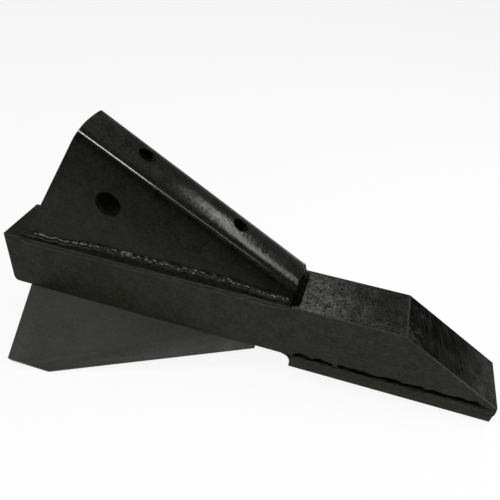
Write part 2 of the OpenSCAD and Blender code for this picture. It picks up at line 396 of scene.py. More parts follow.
# Mixes another colour in by a mask, and leads the result on to the shader
def joinColour(parts, source, output, colour=(0, 0, 0, 1)):
    tree = parts["tree"]
    mixed = addNode(tree, "ShaderNodeMix", 300, 420, {"B": colour}, data_type="RGBA")
    wire(tree, parts["colour"], "Result", mixed, "A")
    wire(tree, source, output, mixed, "Factor")
    wire(tree, mixed, "Result", parts["shader"], "Base Color")
    parts["colour"] = mixed
    return mixed


def addBump(parts, source, output, strength, depth):
    tree = parts["tree"]
    bump = addNode(tree, "ShaderNodeBump", 500, -400, {"Strength": strength, "Distance": depth * mm})
    wire(tree, source, output, bump, "Height")
    if parts["bump"] is not None:
        wire(tree, parts["bump"], "Normal", bump, "Normal")
    wire(tree, bump, "Normal", parts["shader"], "Normal")
    parts["bump"] = bump


# Mixes another tone of the paint in along a direction, with a ragged border
def addFade(parts, fade):
    tree = parts["tree"]
    sockets = ("Direction", "Start", "End", "Ragged", "Size")
    mask = useGroup(tree, fadeAlong, -200, 520, {socket: fade[socket.lower()] for socket in sockets})
    other = addNode(tree, "ShaderNodeMix", 40, 520, {"A": fade["dark"], "B": fade["pale"]}, data_type="RGBA")
    wire(tree, parts["where"], "Object", mask, "Vector")
    wire(tree, parts["coat"], "Tone", other, "Factor")
    wire(tree, other, "Result", joinColour(parts, mask, "Mask"), "B")


# The enamel that every material here starts from: returns what later nodes join on to
def startEnamel(name, look):
    material, tree = emptyMaterial(name)
    out = addNode(tree, "ShaderNodeOutputMaterial", 1100, 0)
    shader = addNode(tree, "ShaderNodeBsdfPrincipled", 800, 0, {"Specular IOR Level": look["specular"]})
    where = addNode(tree, "ShaderNodeTexCoord", -900, 0)
    coat = useGroup(tree, paintGrain, -600, 200,
                    {"Peel": look["peel"], "Grain": look["grain"], "Patch": look["patch"]})
    film = useGroup(tree, shopDust, -600, -160, {"Amount": look["dust"]})
    colour = addNode(tree, "ShaderNodeMix", -200, 260, {"A": look["dark"], "B": look["pale"]},
                     data_type="RGBA")
    dusty = addNode(tree, "ShaderNodeMix", 40, 260, {"B": dustColour}, data_type="RGBA")
    rough = addNode(tree, "ShaderNodeMapRange", -200, -40,
                    {"To Min": look["roughLow"], "To Max": look["roughHigh"]})
    dull = addNode(tree, "ShaderNodeMath", 40, -40, {1: 0.35}, operation="MULTIPLY_ADD", use_clamp=True)
    for group in (coat, film):
        wire(tree, where, "Object", group, "Vector")
    wire(tree, coat, "Tone", colour, "Factor")
    wire(tree, colour, "Result", dusty, "A")
    wire(tree, film, "Mask", dusty, "Factor")
    wire(tree, coat, "Gloss", rough, "Value")
    wire(tree, film, "Mask", dull, 0)
    wire(tree, rough, "Result", dull, 2)
    wire(tree, dull, 0, shader, "Roughness")
    wire(tree, shader, "BSDF", out, "Surface")
    wire(tree, dusty, "Result", shader, "Base Color")
    parts = {"material": material, "tree": tree, "shader": shader, "where": where, "coat": coat,
             "colour": dusty, "bump": None}
    for key in ("fade", "secondFade"):
        if key in look:
            addFade(parts, look[key])
    if look["swell"]:
        addBump(parts, coat, "Swell", 1.0, look["swell"])
    addBump(parts, coat, "Height", look["bump"], look["depth"])
    return parts


def makeFlatPaint(name, look):
    return startEnamel(name, look)["material"]


def makeScaledPaint(name, look):
    parts = startEnamel(name, look)
    skin = useGroup(parts["tree"], scaleSkin, -600, -420, {"Pebble": look["pebble"]})
    wire(parts["tree"], parts["where"], "Object", skin, "Vector")
    joinColour(parts, skin, "Fleck", look["fleck"])
    addBump(parts, skin, "Height", look["scaleBump"], look["scaleDepth"])
    return parts["material"]


def makeCutPaint(name, look):
    parts = startEnamel(name, look)
    tree = parts["tree"]
    turn = [math.radians(angle) for angle in look["turn"]]
    turned = addNode(tree, "ShaderNodeMapping", -780, -420, {"Rotation": turn})
    lines = useGroup(tree, cutLines, -600, -420, {"Fine": look["fine"], "Broad": look["broad"]})
    wire(tree, parts["where"], "Object", turned, "Vector")
    wire(tree, turned, "Vector", lines, "Vector")
    joinColour(parts, lines, "Tone", look["streak"])
    addBump(parts, lines, "Height", look["lineBump"], look["lineDepth"])
    return parts["material"]


# Paints: depths in millimetres, and fades that run from start to end in metres along their direction
# The saddle's plate paint is paler low down and towards the rear, a painted reflection of the floor, and
# nearly black up at the folds, a painted shade
plateLook = {"dark": (0.0012, 0.0013, 0.0007, 1), "pale": (0.0100, 0.0102, 0.0070, 1), "specular": 0.05,
             "roughLow": 0.14, "roughHigh": 0.26, "peel": 300.0, "grain": 1000.0, "patch": 26.0, "dust": 0.10,
             "swell": 0.8, "bump": 0.7, "depth": 0.12,
             "fade": {"direction": (-0.45, 0, -0.9), "start": -0.105, "end": -0.040,
                      "ragged": 0.045, "size": 45.0,
                      "dark": (0.0105, 0.0107, 0.0072, 1), "pale": (0.0225, 0.0228, 0.0172, 1)},
             "secondFade": {"direction": (0.592, 0, 0.847), "start": 0.077, "end": 0.092,
                       "ragged": 0.016, "size": 90.0,
                       "dark": (0.0004, 0.0004, 0.0003, 1), "pale": (0.0050, 0.0051, 0.0034, 1)}}
spineLook = {"dark": (0.0008, 0.0009, 0.0005, 1), "pale": (0.0085, 0.0087, 0.0063, 1), "specular": 0.18,
             "roughLow": 0.13, "roughHigh": 0.24, "peel": 330.0, "grain": 900.0, "patch": 24.0, "dust": 0.10,
             "swell": 0.7, "bump": 0.9, "depth": 0.14,
             "fade": {"direction": (-1, 0, 0), "start": 0.050, "end": 0.110,
                      "ragged": 0.03, "size": 70.0,
                      "dark": (0.0040, 0.0041, 0.0028, 1), "pale": (0.0190, 0.0192, 0.0150, 1)}}
bendLook = {"dark": (0.0016, 0.0017, 0.0010, 1), "pale": (0.0120, 0.0122, 0.0090, 1), "specular": 0.16,
            "roughLow": 0.10, "roughHigh": 0.15, "peel": 330.0, "grain": 900.0, "patch": 24.0, "dust": 0.06,
            "swell": 0, "bump": 0.03, "depth": 0.05}
# The bar's paint grows paler towards the front as painted light
barLook = {"dark": (0.0080, 0.0082, 0.0050, 1), "pale": (0.0240, 0.0243, 0.0180, 1), "specular": 0.07,
           "roughLow": 0.32, "roughHigh": 0.46, "peel": 180.0, "grain": 900.0, "patch": 18.0, "dust": 0.10,
           "swell": 0.5, "bump": 0.5, "depth": 0.08,
           "fade": {"direction": (1, 0, 0), "start": -0.19, "end": -0.05,
                    "ragged": 0.05, "size": 40.0,
                    "dark": (0.0138, 0.0141, 0.0094, 1), "pale": (0.0285, 0.0288, 0.0228, 1)}}
wingLook = {"dark": (0.0195, 0.0196, 0.0168, 1), "pale": (0.0325, 0.0326, 0.0282, 1), "specular": 0.12,
            "roughLow": 0.38, "roughHigh": 0.52, "peel": 150.0, "grain": 1000.0, "patch": 14.0, "dust": 0.08,
            "swell": 0.5, "bump": 0.4, "depth": 0.06}
# The pebbled top is nearly black towards the nose and pale next to the saddle: a painted reflection
topLook = {"dark": (0.0003, 0.0003, 0.0002, 1), "pale": (0.0170, 0.0171, 0.0156, 1), "specular": 0.07,
           "roughLow": 0.18, "roughHigh": 0.34, "peel": 260.0, "grain": 800.0, "patch": 34.0, "dust": 0.10,
           "swell": 0.6, "bump": 0.5, "depth": 0.06,
           "fade": {"direction": (-0.93, -0.37, 0), "start": -0.115, "end": -0.030,
                    "ragged": 0.11, "size": 70.0,
                    "dark": (0.0280, 0.0282, 0.0255, 1), "pale": (0.1250, 0.1252, 0.1190, 1)},
           "pebble": 840.0, "scaleBump": 1.0, "scaleDepth": 0.50, "fleck": (0.0004, 0.0004, 0.0003, 1)}
# The nose is nearly black as painted shade, and paler towards its tip as a painted reflection; its second
# fade adds paler worn patches high up
noseLook = {"dark": (0.0001, 0.0001, 0.0001, 1), "pale": (0.0024, 0.0024, 0.0022, 1), "specular": 0.004,
            "roughLow": 0.30, "roughHigh": 0.45, "peel": 200.0, "grain": 800.0, "patch": 40.0, "dust": 0.11,
            "swell": 0.4, "bump": 0.3, "depth": 0.05,
            "fade": {"direction": (0.96, -0.28, 0), "start": 0.150, "end": 0.212,
                     "ragged": 0.07, "size": 70.0,
                     "dark": (0.0160, 0.0161, 0.0150, 1), "pale": (0.0560, 0.0562, 0.0530, 1)},
            "secondFade": {"direction": (-0.92, -0.38, 0), "start": -0.128, "end": -0.100,
                      "ragged": 0.16, "size": 110.0,
                      "dark": (0.0060, 0.0060, 0.0054, 1), "pale": (0.0420, 0.0420, 0.0380, 1)},
            "fine": 1100.0, "broad": 430.0, "lineBump": 0.8, "lineDepth": 0.16,
            "streak": (0.0135, 0.0135, 0.0125, 1), "turn": (0, -33.6, -12)}
bandLook = {"dark": (0.0180, 0.0181, 0.0150, 1), "pale": (0.0330, 0.0331, 0.0285, 1), "specular": 0.13,
            "roughLow": 0.36, "roughHigh": 0.50, "peel": 200.0, "grain": 1000.0, "patch": 24.0, "dust": 0.06,
            "swell": 0, "bump": 0.3, "depth": 0.05,
            "fine": 900.0, "broad": 200.0, "lineBump": 0.4, "lineDepth": 0.08,
            "streak": (0.034, 0.034, 0.030, 1), "turn": (0, 0, 66)}
# Eased edges are paler, partly worn and partly a painted highlight, and paler still towards the front as a
# painted highlight along the nose's edges
edgeLook = {"dark": (0.0130, 0.0130, 0.0098, 1), "pale": (0.0340, 0.0340, 0.0295, 1), "specular": 0.13,
            "roughLow": 0.26, "roughHigh": 0.42, "peel": 300.0, "grain": 1000.0, "patch": 90.0, "dust": 0.05,
            "swell": 0, "bump": 0.3, "depth": 0.05,
            "fade": {"direction": (1, 0, 0), "start": 0.128, "end": 0.200,
                     "ragged": 0.02, "size": 60.0,
                     "dark": (0.0300, 0.0300, 0.0265, 1), "pale": (0.1000, 0.1000, 0.0930, 1)}}
weldLook = {"dark": (0.0016, 0.0017, 0.0010, 1), "pale": (0.0085, 0.0087, 0.0058, 1), "specular": 0.04,
            "roughLow": 0.10, "roughHigh": 0.22, "peel": 420.0, "grain": 1200.0, "patch": 110.0, "dust": 0.05,
            "swell": 0.25, "bump": 0.5, "depth": 0.08}
rollLook = {**weldLook, "dark": (0.0030, 0.0031, 0.0022, 1), "pale": (0.0130, 0.0131, 0.0100, 1),
            "specular": 0.22, "roughLow": 0.16, "roughHigh": 0.32}
# Near-black paint as painted shade: in the bar's undercut, over the pad bead's head and on the saddle's nose
# fillet
paintedShadeLook = {**weldLook, "dark": (0.0002, 0.0002, 0.0002, 1), "pale": (0.0018, 0.0018, 0.0014, 1),
            "specular": 0.012, "roughLow": 0.22, "roughHigh": 0.40, "dust": 0.03}

platePaint = makeFlatPaint("platePaint", plateLook)
spinePaint = makeFlatPaint("spinePaint", spineLook)
bendPaint = makeFlatPaint("bendPaint", bendLook)
barPaint = makeFlatPaint("barPaint", barLook)
wingPaint = makeFlatPaint("wingPaint", wingLook)
barTopPaint = makeScaledPaint("barTopPaint", topLook)
nosePaint = makeCutPaint("nosePaint", noseLook)
wingBandPaint = makeCutPaint("wingBandPaint", bandLook)
edgePaint = makeFlatPaint("edgePaint", edgeLook)
weldPaint = makeFlatPaint("weldPaint", weldLook)
rollPaint = makeFlatPaint("rollPaint", rollLook)
paintedShadePaint = makeFlatPaint("paintedShadePaint", paintedShadeLook)
print("materials made:", len(bpy.data.materials))


# Point bar: eased edges, pebbled top ahead of the saddle, cut marks on the nose, undercut beside the pad weld
barSizes = {"edge": 0.9, "scaleStart": 14.0, "topCuts": 64, "noseCuts": 72, "dent": 0.16, "dentSize": 7.0,
            "sawMark": 0.07, "sawPitch": 2.4, "sawLean": 0.06, "fade": 3.0}
barSlots = {"side": 0, "edge": 1, "top": 2, "nose": 3, "paintedShade": 4}
undercut = {"rows": (0.95, 1.5, 2.0, 2.5, 3.0, 3.5, 4.0, 4.5, 5.0, 5.6, 6.2), "cuts": 100, "middle": 2.5,
            "half": 2.5, "depth": 1.8, "wander": 1.0, "startGap": 2.0, "endGap": 7.0, "startRun": 4.0,
            "endRun": 12.0, "paintedShadeDepth": 0.1, "paintedShadeReach": 3.0, "paintedShadeFace": 20.0, "seeds": {-1: 3.1, 1: 8.7}}


# Depth of the undercut at a point of the bar's side, in millimetres
def undercutDepth(along, up, start, end, seed):
    middle = undercut["middle"] + undercut["wander"] * wander(along, 9, seed, 0.4)
    half = undercut["half"] * (0.8 + 0.9 * wander(along, 6, seed, 2.2))
    depth = undercut["depth"] * clampShare(0.9 + 1.5 * wander(along, 11, seed, 5.6))
    taper = clampShare(min((along - start) / undercut["startRun"], (end - along) / undercut["endRun"]))
    offset = (up - middle) / max(0.5, half)
    return depth * taper * max(0, 1 - offset * offset)


# Divides a low strip of one side into fine faces, sinks them and paints shade on what is sunk
def cutUndercut(piece, side, seed):
    start, end = padLow.x + undercut["startGap"], barHigh.x - undercut["endGap"]
    lowest, highest = undercut["rows"][0], undercut["rows"][-1]

    def onSide(face):
        return face.normal.y * side > flatMatch

    def lowOnSide(face):
        return onSide(face) and fromBar(face.calc_center_median()).z < barLow.z + highest

    def longEdge(edge):
        a, b = (fromBar(v.co) for v in edge.verts)
        return (abs(a.z - b.z) < near and min(a.y * side, b.y * side) > barHalf - touch
                and lowest - near < a.z - barLow.z < highest + near
                and min(a.x, b.x) > start - near and max(a.x, b.x) < end + near)

    editPiece(piece)
    for row in undercut["rows"]:
        selectWhere(piece, "FACE", onSide)
        bpy.ops.mesh.bisect(plane_co=onBar(0, 0, barLow.z + row), plane_no=barUp, threshold=thinCut)
    for cut in (start, end):
        selectWhere(piece, "FACE", lowOnSide)
        bpy.ops.mesh.bisect(plane_co=onBar(cut, 0, 0), plane_no=barAlong, threshold=thinCut)
    selectWhere(piece, "EDGE", longEdge)
    bpy.ops.mesh.subdivide(number_cuts=undercut["cuts"])
    bpy.ops.object.mode_set(mode="OBJECT")
    for vertex in piece.data.vertices:
        place = fromBar(vertex.co)
        up = place.z - barLow.z
        inRows = lowest - touch < up < highest - 2 * near
        if inRows and start < place.x < end and place.y * side > barHalf - touch:
            vertex.co -= sideWays * side * undercutDepth(place.x, up, start, end, seed) * mm
    for polygon in piece.data.polygons:
        place = fromBar(polygon.center)
        inStrip = start < place.x < end and 0 < place.z - barLow.z < highest
        isSunk = undercut["paintedShadeDepth"] < barHalf - place.y * side < undercut["paintedShadeReach"]
        isSmall = polygon.area < undercut["paintedShadeFace"] * mm * mm
        # Sunk faces of the undercut take painted shade
        if inStrip and isSunk and isSmall and abs(polygon.normal.y) > 0.2:
            polygon.material_index = barSlots["paintedShade"]
    print("undercut faces:", sum(p.material_index == barSlots["paintedShade"] for p in piece.data.polygons))


# Fine faces for the pebbled top and the nose
def divideBar(piece, noseNormal, scaleX):
    def onTop(face):
        return face.normal.dot(barUp) > flatMatch

    editPiece(piece)
    selectWhere(piece, "FACE", onTop)
    bpy.ops.mesh.bisect(plane_co=onBar(scaleX, 0, 0), plane_no=barAlong)
    selectWhere(piece, "FACE", lambda f: onTop(f) and fromBar(f.calc_center_median()).x > scaleX)
    bpy.ops.mesh.subdivide(number_cuts=barSizes["topCuts"])
    selectWhere(piece, "FACE", lambda f: f.normal.dot(noseNormal) > flatMatch)
    bpy.ops.mesh.subdivide(number_cuts=barSizes["noseCuts"])
    bpy.ops.object.mode_set(mode="OBJECT")


# The eased edges across the top keep the paint of the sides
def paintBar(piece, noseNormal, scaleX):
    for polygon in piece.data.polygons:
        normal = polygon.normal
        if normal.dot(barUp) > flatMatch and fromBar(polygon.center).x > scaleX:
            polygon.material_index = barSlots["top"]
        elif normal.dot(noseNormal) > flatMatch:
            polygon.material_index = barSlots["nose"]
        elif polygon.material_index == barSlots["edge"] and abs(normal.y) < 0.3 and normal.z > 0.6:
            polygon.material_index = barSlots["side"]


# Shallow dents in the top and saw marks in the nose, which fade out at the borders
def dentBar(piece, noseNormal, scaleX):
    noseX = max(fromBar(v.co).x for v in piece.data.vertices if abs(fromBar(v.co).z) < touch)
    noseRun = noseNormal.cross(sideWays)
    for vertex in piece.data.vertices:
        place = fromBar(vertex.co)
        inset = barHalf - barSizes["edge"] - abs(place.y)
        offNose = (vertex.co - onBar(noseX, 0, 0)).dot(noseNormal) / mm
        if abs(place.z) < touch and scaleX < place.x < noseX:
            inset = min(inset, noseX - place.x, place.x - scaleX)
            spot = Vector((place.x, place.y, 4.0)) / barSizes["dentSize"]
            dent = barSizes["dent"] * (noise.noise(spot) + 0.5 * noise.noise(spot * 2.3))
            vertex.co += barUp * dent * clampShare(inset / barSizes["fade"]) * mm
        elif place.x > noseX + 1 and abs(offNose) < touch:
            row = (vertex.co - barOrigin).dot(noseRun) / mm
            line = Vector((row / barSizes["sawPitch"] + place.y * barSizes["sawLean"], place.y * 0.02, 9.0))
            mark = barSizes["sawMark"] * noise.noise(line)
            vertex.co += noseNormal * mark * clampShare(inset / barSizes["fade"]) * mm


def makePointBar():
    piece = copyOfNode("point_bar", "pointBar")
    addPaints(piece, barPaint, edgePaint, barTopPaint, nosePaint, paintedShadePaint)
    easeEdges(piece, barSizes["edge"])
    noseNormal = mainNormal(piece.data, lambda n: 0.2 < n.dot(barAlong) < 0.9)
    scaleX = saddleHigh.x - barSizes["scaleStart"]
    divideBar(piece, noseNormal, scaleX)
    paintBar(piece, noseNormal, scaleX)
    dentBar(piece, noseNormal, scaleX)
    for side, seed in undercut["seeds"].items():
        cutUndercut(piece, side, seed)
    evenShading(piece)
    finishPiece(piece, "point_bar")
    return piece


pointBar = makePointBar()
print("point bar:", len(pointBar.data.polygons), "faces")


# Saddle, pad and wings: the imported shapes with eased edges, and a slight crown on the saddle's spine
plateEdges = {"shank_saddle": 0.55, "wear_pad": 0.7, "wing_left": 0.3, "wing_right": 0.3}
spineCrown = {"rise": 0.75, "half": 12.0, "cuts": 14, "skin": 1.2}
spinePatch = {"up": 0.7, "fold": 0.5, "flat": 0.8, "left": 0.25, "longEdge": 4.0}
wingBand = {"top": 0.5, "up": 0.3, "area": 200.0, "turned": 0.99}


# The press leaves the folded spine slightly crowned from side to side
def crownSpine(piece):
    up = uprightNormal(piece.data, spinePatch["up"])
    top = max(v.co.dot(up) for v in piece.data.vertices)
    editPiece(piece)
    for k in range(1, spineCrown["cuts"]):
        across = spineCrown["half"] * (2 * k / spineCrown["cuts"] - 1) * mm
        selectWhere(piece, "FACE", lambda f: f.normal.dot(up) > flatMatch)
        bpy.ops.mesh.bisect(plane_co=(0, across, 0), plane_no=sideWays, threshold=thinCut)
    bpy.ops.object.mode_set(mode="OBJECT")
    for vertex in piece.data.vertices:
        share = vertex.co.y / (spineCrown["half"] * mm)
        if abs(share) < 1 and top - vertex.co.dot(up) < spineCrown["skin"] * mm:
            vertex.co += up * spineCrown["rise"] * (1 - share * share) ** 2 * mm


def makePlate(node, name, paint, shape=None):
    piece = copyOfNode(node, name)
    addPaints(piece, paint, edgePaint)
    easeEdges(piece, plateEdges[node])
    if shape:
        shape(piece)
    evenShading(piece)
    finishPiece(piece, node)
    return piece


# Long eased edges keep the plate's paint; the spine and the fold on its right have their own gloss
def makeSaddle():
    piece = makePlate("shank_saddle", "shankSaddle", platePaint, crownSpine)
    addPaints(piece, spinePaint, bendPaint)
    spineUp = uprightNormal(piece.data, spinePatch["up"])
    for face in piece.data.polygons:
        if face.material_index == 1 and face.area > spinePatch["longEdge"] * mm * mm:
            face.material_index = 0
        rise = face.normal.dot(spineUp)
        if face.material_index == 0 and rise > spinePatch["fold"] and face.normal.y < spinePatch["left"]:
            face.material_index = 2 if rise > spinePatch["flat"] else 3
    print("spine faces:", sum(f.material_index == 2 for f in piece.data.polygons))


# The ground band along a wing's leading edge shows its cut lines
def makeWing(node, name):
    piece = makePlate(node, name, wingPaint)
    addPaints(piece, wingBandPaint)
    top = mainNormal(piece.data, lambda n: n.z > wingBand["top"])
    ground = [face for face in piece.data.polygons
              if face.normal.z > wingBand["up"] and face.area > wingBand["area"] * mm * mm
              and face.normal.dot(top) < wingBand["turned"]]
    for face in ground:
        face.material_index = 2
    print(name, "ground faces:", len(ground))


makeSaddle()
# The pad takes the bar's paler paint as painted light on its shaded lower side
makePlate("wear_pad", "wearPad", barPaint)
makeWing("wing_left", "wingLeft")
makeWing("wing_right", "wingRight")
print("plates made")


# Weld beads: a rod blank whose rings are laid over the joint, section by section
def beadBlank(name, sides, rings):
    thirds, mostCuts = 3, 100
    bpy.ops.object.select_all(action="DESELECT")
    bpy.ops.mesh.primitive_cylinder_add(vertices=sides, radius=1, depth=1, end_fill_type="NGON")
    piece = bpy.context.object
    piece.name = name
    for cuts in (thirds - 1, math.ceil(rings / thirds) - 1):
        bpy.ops.object.mode_set(mode="EDIT")
        selectWhere(piece, "EDGE", lambda e: abs(e.verts[0].co.z - e.verts[1].co.z) > 1e-6)
        bpy.ops.mesh.subdivide(number_cuts=min(cuts, mostCuts))
        bpy.ops.object.mode_set(mode="OBJECT")
    return piece


# Rounded scallops, bowed towards the toes, of uneven size
def ripple(along, share, look, seed):
    warped = along + look["stagger"] * wander(along, 7.0, seed, 0.3)
    phase = (warped + look["bow"] * (2 * share - 1) ** 2) / look["pitch"]
    index = math.floor(phase)
    size = 0.55 + 0.9 * (noise.noise(Vector((index * 0.73, seed, 5.1))) * 0.5 + 0.5)
    return (1 - (2 * (phase - index) - 1) ** 2) * size


# Height of ripples, lumps and grit above a bead's smooth section
def beadRelief(along, share, look, seed):
    lump = look["lump"] * noise.noise(Vector((along / look["lumpPitch"], share * 3.2, seed)))
    grit = look["grit"] * noise.noise(Vector((along / 1.6, share * 7, seed + 3)))
    rough = look["rough"](along)
    ripples = (ripple(along, share, look, seed) * look["ripple"] + grit) * rough
    swell = math.sin(math.pi * share) ** 0.7
    return (ripples + lump * (0.4 + 0.6 * rough)) * look["weight"](share) * swell


# Points of a smooth line through a few corners
def smoothLine(corners, count):
    line = []
    last = len(corners) - 1
    for i in range(count):
        place = i / (count - 1) * last
        k = min(int(place), last - 1)
        t = place - k
        a, b = corners[max(k - 1, 0)], corners[k]
        c, d = corners[k + 1], corners[min(k + 2, last)]
        line.append(0.5 * ((2 * b) + (c - a) * t + (2 * a - 5 * b + 4 * c - d) * t * t
                           + (3 * b - a - 3 * c + d) * t ** 3))
    return line


# Lays the rings: corners(along, full) gives the outside of a section, back its corners inside the steel
def layBead(node, name, length, corners, back, place, look, seed):
    front = look["front"]
    sides = front + len(back)
    piece = beadBlank(name, sides, math.ceil(length / look["step"]))
    shares = {}
    for vertex in piece.data.vertices:
        turn = math.atan2(vertex.co.x, vertex.co.y) / (2 * math.pi)
        k = round((turn % 1.0) * sides) % sides
        share = k / (front - 1)
        shares[vertex.index] = share
        along = (vertex.co.z + 0.5) * length
        fromEnd = min(along, length - along, look["end"]) / look["end"]
        full = look["tip"] + (1 - look["tip"]) * math.sqrt(max(0, 1 - (1 - fromEnd) ** 2))
        if k >= front:
            out, up = back[k - front]
        else:
            line = smoothLine(corners(along, full), front)
            tangent = line[min(k + 1, front - 1)] - line[max(k - 1, 0)]
            normal = Vector((-tangent.y, tangent.x)).normalized()
            out, up = line[k] + normal * beadRelief(along, share, look, seed) * full
        vertex.co = place(along, out, up)
    editPiece(piece)
    bpy.ops.mesh.select_all(action="SELECT")
    bpy.ops.mesh.normals_make_consistent(inside=False)
    bpy.ops.object.mode_set(mode="OBJECT")
    addPaints(piece, *look["paints"])
    for polygon in piece.data.polygons:
        ring = [shares[v] for v in polygon.vertices]
        for slot, (first, last) in enumerate(look["bands"], start=1):
            if min(ring) >= first and max(ring) <= last:
                polygon.material_index = slot
    smoothShading(piece, cleanUp["smoothBead"])
    finishPiece(piece, node)
    return piece


# The same strength all along a bead and all across it
def evenly(_):
    return 1.0


# Sizes in millimetres: a climb or pit has its place along the bead first, then its run or width
plainBead = {"step": 0.6, "end": 6.0, "tip": 0.35, "bands": (), "weight": evenly, "rough": evenly}
saddleBead = {"front": 33, "step": 0.6, "end": 18.0, "tip": 0.08, "pitch": 6.1, "ripple": 0.22, "bow": 1.2,
              "stagger": 4.5, "lump": 2.0, "lumpPitch": 5.2, "grit": 0.3, "upperToe": 0.72, "lowerToe": 0.8,
              "sink": 0.25, "hollow": 0.9, "lip": 0.9, "climb": 3.4, "climbStart": (35.0, 40.0),
              "climbEnd": (212.0, 30.0), "roll": ((1.3, -0.3), (2.7, -1.3), (3.4, -2.9), (3.1, -4.3)),
              "pits": ((176.0, 2.2, 1.1), (196.0, 2.6, 2.4), (203.5, 1.8, 2.0)),
              # The roll keeps the glossy roll paint; the hollow takes the darker weld paint as painted shade,
              # and the band at the lip the pale edge paint as a painted highlight
              "paints": (rollPaint, barPaint, weldPaint, edgePaint),
              "bands": ((0.54, 1.0), (0.30, 0.55), (0.68, 0.91)),
              "weight": lambda share: 1.0 if share < 0.4 else 0.2,
              "rough": lambda along: 0.15 + 0.85 * smoothStep((along - 30) / 45)}


# A lumpy roll against the saddle, a hollow below it and a small lip on the bar's side
def makeSaddleBead(node, name, side, seed):
    low, high = spanOnBar(node)
    ledge = barHalf - saddleHigh.y
    look = saddleBead
    (riseAt, riseRun), (fallAt, fallRun) = look["climbStart"], look["climbEnd"]

    def corners(along, full):
        climb = smoothStep((along - riseAt) / riseRun) * smoothStep((fallAt - along) / fallRun)
        upper = (high.z + look["climb"] * climb + look["upperToe"] * wander(along, 6, seed)) * full
        lower = (low.z + look["lowerToe"] * wander(along, 13, seed + 2)) * full
        pit = sum(deep * math.exp(-((along - at) / wide) ** 2) for at, wide, deep in look["pits"])
        hollow = look["hollow"] * full + pit
        lip = look["lip"] * full * (1 + 0.5 * wander(along, 9, seed + 6))
        head = [(-ledge - look["sink"], upper + 0.2)]
        roll = [(-ledge + out * full, upper + up * full) for out, up in look["roll"]]
        face = [(0.2 - hollow, upper * 0.1), (0.8 - hollow, lower * 0.3), (0.9 - hollow * 0.5, lower * 0.6)]
        foot = [(lip, lower * 0.82), (lip * 0.5, lower * 0.97), (-look["sink"], lower * 1.06)]
        return [Vector(corner) for corner in head + roll + face + foot]

    def place(along, out, up):
        return onBar(low.x + along, side * (barHalf + out), up)

    back = [(-1.2, -0.6), (-ledge - 1.2, -0.6), (-ledge - 1.2, 0.8)]
    return layBead(node, name, high.x - low.x, corners, back, place, look, seed)


# The band at the bead's head takes painted shade, joining the undercut's
padBead = {**plainBead, "front": 31, "pitch": 7.4, "ripple": 0.12, "bow": 2.6, "stagger": 4.0, "lump": 0.55,
           "lumpPitch": 11.0, "grit": 0.06, "toe": 0.56, "sink": 0.25, "lip": 0.9, "lipWander": 1.3,
           "lipRagged": 0.8, "deep": -1.6, "paints": (barPaint, paintedShadePaint), "bands": ((0.0, 0.28),)}


# A ragged lip below the undercut, a hollow face and a ridge near the foot
def makePadBead(node, name, side, seed):
    low, high = spanOnBar(node)
    look = padBead
    down = low.z - barLow.z
    proud = max(abs(low.y), abs(high.y)) - barHalf
    deep = look["deep"]

    def corners(along, full):
        ragged = look["lipRagged"] * wander(along, 2.9, seed + 4)
        lip = look["lip"] + look["lipWander"] * wander(along, 7, seed) + ragged
        lower = (down + look["toe"] * wander(along, 14, seed + 2)) * full
        ridge = proud * full
        head = [(deep, lip - 1.2), (-0.7, lip - 0.2), (0.1, lip), (0.5 * full, lip - 0.7)]
        face = [(0.5 * ridge, lip - 1.8), (0.6 * ridge, lower * 0.5)]
        foot = [(1.1 * ridge, lower * 0.72), (1.15 * ridge, lower * 0.84), (0.5 * full, lower * 0.96)]
        return [Vector(corner) for corner in head + face + foot + [(-look["sink"], lower)]]

    def place(along, out, up):
        return onBar(low.x + along, side * (barHalf + out), barLow.z + up)

    back = [(deep, down * 0.9), (deep, down * 0.4), (deep, 0.3)]
    return layBead(node, name, high.x - low.x, corners, back, place, look, seed)


noseBead = {**plainBead, "front": 19, "pitch": 7.0, "ripple": 0.12, "bow": 2.0, "stagger": 2.8, "lump": 0.5,
            "lumpPitch": 7.0, "grit": 0.12, "toe": 0.7, "sink": 0.2, "paints": (paintedShadePaint,),
            "face": ((0.14, 0.78), (0.3, 0.5), (0.55, 0.25), (0.85, 0.1))}


# A hollow fillet across the saddle's nose, all in painted shadow
def makeNoseBead(node, name, seed):
    low, high = spanOnBar(node)
    look = noseBead
    rise, reach = high.z, high.x - low.x

    def corners(along, full):
        top = rise * full + 0.3 * wander(along, 7, seed)
        toe = reach * full + look["toe"] * wander(along, 6, seed + 2)
        face = [(out * toe, up * top) for out, up in look["face"]]
        return [Vector(corner) for corner in [(-0.4, top)] + face + [(toe, -look["sink"])]]

    def place(along, out, up):
        return onBar(low.x + out, low.y + along, up)

    back = [(2.0, -0.5), (-0.6, -0.5), (-0.6, rise * 0.5)]
    return layBead(node, name, high.y - low.y, corners, back, place, look, seed)


wingBead = {**plainBead, "front": 17, "step": 0.8, "end": 7.0, "tip": 0.3, "pitch": 4.2, "ripple": 0.4,
            "bow": 2.4, "stagger": 2.0, "lump": 0.35, "lumpPitch": 12.0, "grit": 0.12, "throat": 2.2,
            "sink": 0.2, "paints": (weldPaint,)}


